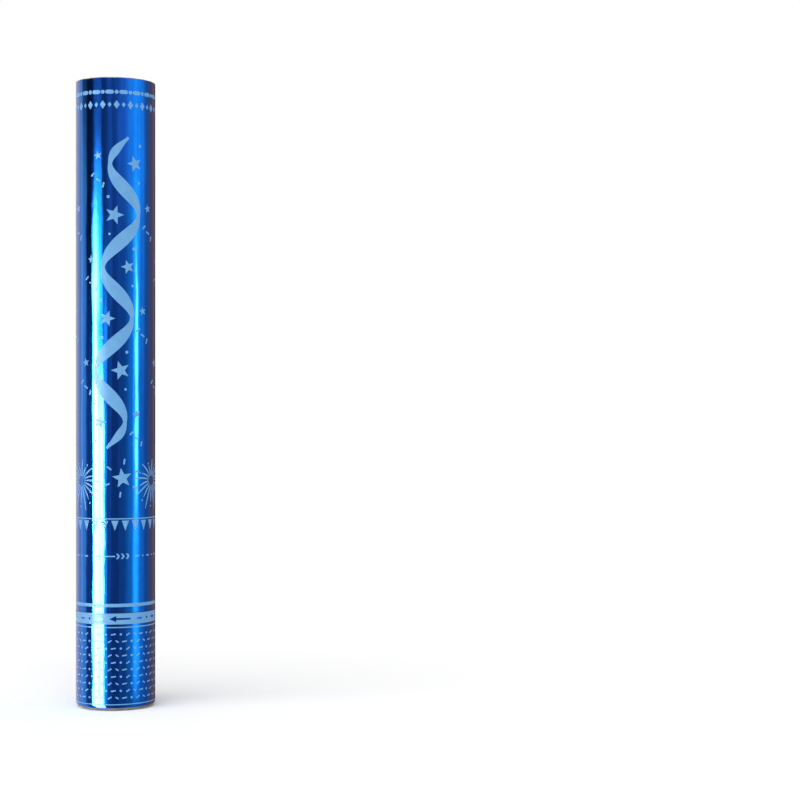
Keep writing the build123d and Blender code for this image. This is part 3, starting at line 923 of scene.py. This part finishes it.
# Return spring, needle and neck membrane
def coil_spring():
    """Round wire in an open coil, ground flat at both ends; here it keeps one length and does not shorten as
    the striker rises.
    """
    low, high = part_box("return_spring")
    wire, coil_radius, turns, turn_steps = 1.3 * MM, 4.7 * MM, 4, 36
    ground = wire / 4
    climb = (high.z - low.z - wire + 2 * ground) / turns
    piece = start(
        "spring_coil", bpy.ops.mesh.primitive_circle_add, vertices=12, radius=wire / 2,
        location=(coil_radius, 0, low.z + wire / 2 - ground), rotation=(math.pi / 2, 0, 0),
    )
    apply_modifier(
        piece, "SCREW", screw_offset=climb, iterations=turns, steps=turn_steps, render_steps=turn_steps
    )
    edit(piece)
    bpy.ops.mesh.fill_holes(sides=0)
    for height, facing in ((low.z, -1), (high.z, 1)):
        cut((0, 0, height), (0, 0, facing), use_fill=True, clear_outer=True)
    face_outward()
    smooth(piece, 40)
    settle(piece, steel_bright, "barrel", "steel", "return_spring")
    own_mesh(piece)
    return piece


def ground_needle():
    """Steel rod with its foot chamfered, and its point ground to a cone with a very small flat at the tip."""
    low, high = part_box("needle")
    radius, point_length, foot_chamfer, tip_radius = high.x, 4.0 * MM, 0.2 * MM, 0.03 * MM
    section = [(radius - foot_chamfer, low.z), (radius, low.z + foot_chamfer)]
    section += [(radius, high.z - point_length), (tip_radius, high.z)]
    piece = turned("needle_spike", section, sides=48, capped=True)
    smooth(piece, 30)
    return settle(piece, steel_bright, "striker", "steel", "needle")


def scored_membrane():
    """The sheet over the neck: a ring that stays, and four scored flaps, which lie flat here and do not draw
    back from the needle.
    """
    low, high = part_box("neck_membrane")
    tear_radius, score, folded, sides, flaps = 3.0 * MM, 0.02 * MM, 0.15, 96, 4
    section = [(tear_radius, low.z), (high.x, low.z), (high.x, high.z), (tear_radius, high.z)]
    ring = turned("membrane_ring", section, sides=sides, closed=True)
    smooth(ring, 40)
    settle(ring, aluminium, "barrel", "aluminium", "neck_membrane")
    flap = start(
        "membrane_flap", bpy.ops.mesh.primitive_circle_add, vertices=sides, radius=tear_radius - score,
        fill_type="NGON", location=(0, 0, low.z),
    )
    edit(flap)
    for facing in ((1, 0, 0), (0, 1, 0)):
        cut((score, score, low.z), facing, clear_inner=True)
    bpy.ops.mesh.select_all(action="SELECT")
    bpy.ops.mesh.extrude_region_move(TRANSFORM_OT_translate={"value": (0, 0, high.z - low.z)})
    face_outward()
    for number in range(flaps):
        piece = bpy.data.objects.new("membrane_flap_%d" % (number + 1), flap.data.copy())
        bpy.context.scene.collection.objects.link(piece)
        piece.data.name = piece.name
        piece.data.transform(Matrix.Rotation(number * FULL_TURN / flaps, 4, "Z"))
        settle(piece, aluminium, "barrel", "aluminium")
        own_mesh(piece)
    bpy.data.objects.remove(flap)


# Foil slips
slip_width, slip_length, slip_thickness = 9.4 * MM, 23.0 * MM, 0.09 * MM
slips_in_packet, slip_spacing = 4, 0.38 * MM
most_yaw, most_tilt, most_slide, most_shift = 0.14, 0.05, 0.9 * MM, 0.6 * MM
bore_clear = 22.7 * MM


def loose_slip(name, curl, twist):
    """One foil slip with a little curl along it and a twist across it."""
    piece = start(name, bpy.ops.mesh.primitive_grid_add, x_subdivisions=2, y_subdivisions=6, size=1)
    edit(piece)
    bpy.ops.transform.resize(value=(slip_width, slip_length, 1), center_override=(0, 0, 0))
    object_mode()
    for point in piece.data.vertices:
        across, along = point.co.x / slip_width, point.co.y / slip_length
        point.co.z = curl * (4 * along * along - 0.4) + twist * across * along * 4
    apply_modifier(piece, "SOLIDIFY", thickness=slip_thickness, offset=0)
    return piece


def packets(node_name):
    """The corner points of each packet in a confetti solid, packet by packet."""
    same_corner = 0.001 * MM
    solid = bmesh.new()
    solid.from_mesh(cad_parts[node_name].data)
    bmesh.ops.remove_doubles(solid, verts=solid.verts, dist=same_corner)
    solid.verts.index_update()
    seen, found = set(), []
    for first in solid.verts:
        if first.index in seen:
            continue
        seen.add(first.index)
        corners, reach = [], [first]
        while reach:
            point = reach.pop()
            corners.append(point.co.copy())
            for line in point.link_edges:
                other = line.other_vert(point)
                if other.index not in seen:
                    seen.add(other.index)
                    reach.append(other)
        found.append(corners)
    solid.free()
    found.sort(key=lambda corners: tuple(round(sum(c[axis] for c in corners), 5) for axis in (2, 0, 1)))
    return found


def packet_frame(corners):
    """Middle of a packet, and its directions across, along and through its slips."""
    middle = sum(corners, Vector()) / len(corners)
    first = min(corners, key=lambda c: (round(c.z, 5), round(c.x, 5), round(c.y, 5)))
    edges = sorted((c - first for c in corners if (c - first).length > 0), key=lambda line: line.length)
    through, across = edges[0].normalized(), edges[1].normalized()
    if through.z < 0:
        through.negate()
    along = through.cross(across)
    return middle, across, along, through


def confetti(colour, patterns, floor_height, roof_height):
    """All slips of one colour as one piece: a few stacked slips to a packet, none quite in line."""
    node_name = "confetti_" + colour
    heap = bmesh.new()
    for corners in packets(node_name):
        middle, across, along, through = packet_frame(corners)
        lie = Matrix((across, along, through)).transposed().to_4x4()
        for number in range(slips_in_packet):
            slip = random.choice(patterns).data.copy()
            yaw = Matrix.Rotation(random.uniform(-most_yaw, most_yaw), 4, "Z")
            tilt = Matrix.Rotation(random.uniform(-most_tilt, most_tilt), 4, "Y")
            level = (number - (slips_in_packet - 1) / 2) * slip_spacing
            place = middle + through * level
            place += along * random.uniform(-most_slide, most_slide)
            place += across * random.uniform(-most_shift, most_shift)
            slip.transform(Matrix.Translation(place) @ lie @ yaw @ tilt)
            heap.from_mesh(slip)
            bpy.data.meshes.remove(slip)
    for point in heap.verts:
        _, reach = polar(point)
        if reach > bore_clear:
            point.co.x *= bore_clear / reach
            point.co.y *= bore_clear / reach
        point.co.z = min(max(point.co.z, floor_height), roof_height)
    mesh = bpy.data.meshes.new("slips_" + colour)
    heap.to_mesh(mesh)
    heap.free()
    piece = bpy.data.objects.new("slips_" + colour, mesh)
    bpy.context.scene.collection.objects.link(piece)
    smooth(piece, 60)
    return settle(piece, slip_finishes[colour], "payload", colour + "_slips", node_name)


def all_confetti():
    patterns = [
        loose_slip("slip_flat", curl=0.1 * MM, twist=0.1 * MM),
        loose_slip("slip_curled", curl=0.5 * MM, twist=-0.15 * MM),
        loose_slip("slip_bowed", curl=-0.4 * MM, twist=0.2 * MM),
        loose_slip("slip_twisted", curl=0.2 * MM, twist=0.45 * MM),
    ]
    boxes = [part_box("confetti_" + colour) for colour in slip_finishes]
    floor_height = min(low.z for low, high in boxes)
    roof_height = max(high.z for low, high in boxes)
    for colour in slip_finishes:
        confetti(colour, patterns, floor_height, roof_height)
    for pattern in patterns:
        bpy.data.objects.remove(pattern)


# Studio: camera, floor, light, and panels that only gloss reflects
def camera():
    """A level camera, a little to the right of the popper's front."""
    place, level = (0.183, -1.2156, 0.1963), (math.radians(90), 0, 0)
    bpy.ops.object.camera_add(location=place, rotation=level)
    made = bpy.context.active_object
    made.data.lens = 85
    made.data.sensor_width = 36
    bpy.context.scene.camera = made


def studio_world():
    """Even light all round, and plain white where the camera, gloss or glass sees the backdrop."""
    light_level, white_level = 0.62, 1.0
    world = bpy.data.worlds.new("studio")
    world.use_nodes = True
    bpy.context.scene.world = world
    tree = world.node_tree
    path = node(tree, "ShaderNodeLightPath").outputs
    seen = sums(tree, "MAXIMUM", path["Is Camera Ray"], path["Is Glossy Ray"])
    seen = sums(tree, "MAXIMUM", seen, path["Is Transmission Ray"])
    back = tree.nodes["Background"]
    back.inputs["Color"].default_value = (1, 1, 1, 1)
    tree.links.new(remap(tree, seen, light_level, white_level), back.inputs["Strength"])


def soft_light():
    towards_lamp = Vector((-0.45, -1.0, 1.05))
    bpy.ops.object.light_add(type="SUN", location=(-1.2, -1.6, 2.6))
    lamp = bpy.context.active_object
    lamp.rotation_euler = towards_lamp.to_track_quat("Z", "Y").to_euler()
    lamp.data.energy = 2.0
    lamp.data.angle = math.radians(75)


def pale_floor():
    floor = start("floor", bpy.ops.mesh.primitive_plane_add, size=14)
    material, tree, shader, place = finish("pale floor", Specular_IOR_Level=0.0, Roughness=0.9)
    tone = use(tree, mottle, Place=place, Scale=3.0, Detail=2.0)["Mask"]
    feed(tree, shader, Base_Color=mixed(tree, tone, (0.975, 0.975, 0.975, 1), (0.985, 0.985, 0.985, 1)))
    floor.data.materials.append(material)
    floor.visible_glossy = False


def panel_effect():
    """How much of a soft panel shows at an angle and height: all inside it, less across its border."""
    names = ("Angle", "Height", "Middle", "Half Width", "Border", "Foot", "Top", "Fade")
    group, given, out = effect("soft panel", {name: FLOAT for name in names}, ["Share"])

    def falling(value, first, last):
        inputs = {0: value, 1: first, 2: last, 3: 1.0, 4: 0.0}
        return node(group, "ShaderNodeMapRange", inputs, interpolation_type="SMOOTHSTEP").outputs[0]

    off = sums(group, "WRAP", sums(group, "SUBTRACT", given["Angle"], given["Middle"]), 180.0, -180.0)
    edge = sums(group, "ADD", given["Half Width"], given["Border"])
    across = falling(sums(group, "ABSOLUTE", off), given["Half Width"], edge)
    over = falling(given["Height"], given["Top"], sums(group, "ADD", given["Top"], given["Fade"]))
    under = falling(given["Height"], sums(group, "SUBTRACT", given["Foot"], given["Fade"]), given["Foot"])
    upright = sums(group, "MULTIPLY", over, sums(group, "SUBTRACT", 1.0, under))
    share = sums(group, "MULTIPLY", across, upright)
    group.links.new(sums(group, "POWER", share, 2.0), out["Share"])
    return group


def reflector_tent():
    """A dark round tent with soft panels, seen by gloss alone, which gives the film its bands.

    Angles are in degrees round the popper from the camera's side, those to the left of it positive.
    """
    camera_angle, tent_radius, tent_height = -81.4, 2, 80
    low, near, high = -60.0, -1.6, 60.0
    white, cool, cream, brown = (1.0, 1.0, 1.0), (0.42, 1.35, 1.0), (1.6, 1.2, 0.7), (1.0, 0.35, 0.14)
    light = (0.04, 0.04, 0.04)
    panels = (
        (51.5, 14.5, 5, -2.0, 0.12, 0.22, 50.0, white),
        (61, 4, 9.5, 0.20, 0.38, 0.22, 40.0, white),
        (46, 5, 8, -0.40, 0.40, 0.20, 2.4, cool),
        (30, 2, 6, -0.45, 0.30, 0.25, 1.3, cool),
        (53, 6, 16, low, high, 0.20, 0.35, white),
        (53, 6, 12, 0.45, 0.52, 0.20, 1.9, cool),
        (54, 12, 16, low, -2.0, 0.50, 1.6, white),
        (-60, 0, 60, low, high, 0.20, 0.42, cool),
        (-60, 0, 60, -0.22, high, 0.14, 0.36, cool),
        (-61, 2, 18, -0.24, 0.50, 0.15, 1.0, cool),
        (-74, 10, 30, 0.60, high, 0.20, 0.25, cool),
        (-62.5, 3, 5, 0.10, 0.36, 0.16, 5.0, cream),
        (0, 24, 34, low, high, 0.20, 0.12, white),
        (-6, 22, 30, 0.42, high, 0.22, 0.07, white),
        (17, 3, 8, low, high, 0.20, 0.12, white),
        (-13, 2, 8, low, high, 0.20, 0.08, white),
        (-30, 12, 30, 0.62, high, 0.20, 0.25, white),
        (-94, 6, 34, low, high, 0.20, 0.18, white),
        (-82, 8, 20, 0.34, 0.55, 0.20, 0.15, cool),
        (127, 13, 9, near, high, 0.50, 0.80, cream),
        (104, 8, 8, near, 0.45, 0.50, 0.75, cream),
        (88, 10, 12, low, 0.20, 0.40, 0.17, white),
        (-128, 14, 24, near, high, 0.50, 0.60, brown),
        (-176, 3, 20, near, high, 0.50, 0.15, cream),
        (158, 10, 16, near, high, 0.50, 0.70, cream),
        (130, 30, 24, low, -2.1, 0.50, 0.60, white),
        (-130, 20, 40, low, -2.1, 0.50, 0.30, white),
    )
    tent = start(
        "reflector_tent", bpy.ops.mesh.primitive_cylinder_add, vertices=96, radius=tent_radius,
        depth=tent_height, end_fill_type="NOTHING",
    )
    smooth(tent, 40)
    material = bpy.data.materials.new("tent panels")
    material.use_nodes = True
    tree = material.node_tree
    tree.nodes.remove(tree.nodes["Principled BSDF"])
    place = node(tree, "ShaderNodeTexCoord").outputs["Object"]
    parts = node(tree, "ShaderNodeSeparateXYZ", {0: place}).outputs
    degrees = sums(tree, "MULTIPLY", sums(tree, "ARCTAN2", parts["Y"], parts["X"]), 180 / math.pi)
    angle = sums(tree, "SUBTRACT", camera_angle, degrees)
    panel = panel_effect()
    for middle, half_width, border, foot, top, fade, level, tint in panels:
        share = use(
            tree, panel, Angle=angle, Height=parts["Z"], Middle=middle, Half_Width=half_width, Border=border,
            Foot=foot, Top=top, Fade=fade,
        )["Share"]
        added = {0: share, 1: tuple(level * part for part in tint), 2: light}
        light = node(tree, "ShaderNodeVectorMath", added, operation="MULTIPLY_ADD").outputs[0]
    lit = node(tree, "ShaderNodeEmission", {"Color": light, "Strength": 1.0})
    tree.links.new(lit.outputs[0], tree.nodes["Material Output"].inputs["Surface"])
    tent.data.materials.append(material)
    for ray in ("camera", "diffuse", "transmission", "volume_scatter", "shadow"):
        setattr(tent, "visible_" + ray, False)


# The popper
camera()
studio_world()
soft_light()
pale_floor()
reflector_tent()

barrel_wrap()
grip_wrap()
film_lap("barrel_lap", barrel_foot + lap_gap, barrel_top - film_trim - lap_trim, "barrel")
film_lap("grip_lap", curl_radius, grip_top - lap_gap, "grip")
barrel_print()
grip_print()
grip_arrows()
barrel_board()
grip_board()
round_card("muzzle_card", "muzzle_seal", card_white, "seal", "white_card", dish=0.35 * MM)
round_card("pusher_card", "pusher_disc", board_grey, "payload", "greyboard", dish=0.2 * MM)
wad()
coil_spring()
ground_needle()
scored_membrane()
all_confetti()

# Finishes of the solids that stay as they are
for material, node_names in (
    (board_grey, ["base_disc"]),
    (board_brown, ["joint_sleeve"]),
    (plastic_white, ["twist_hub", "striker_guide", "canister_retainer"]),
    (plastic_black, ["guide_cap", "striker"]),
    (steel_bright, ["cross_pin"]),
    (aluminium, ["gas_canister"]),
    (brass_satin, ["neck_ferrule"]),
    (rubber_black, ["neck_gasket"]),
):
    for node_name in node_names:
        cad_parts[node_name].material_slots[0].material = material

bpy.context.scene.view_settings.view_transform = "Standard"
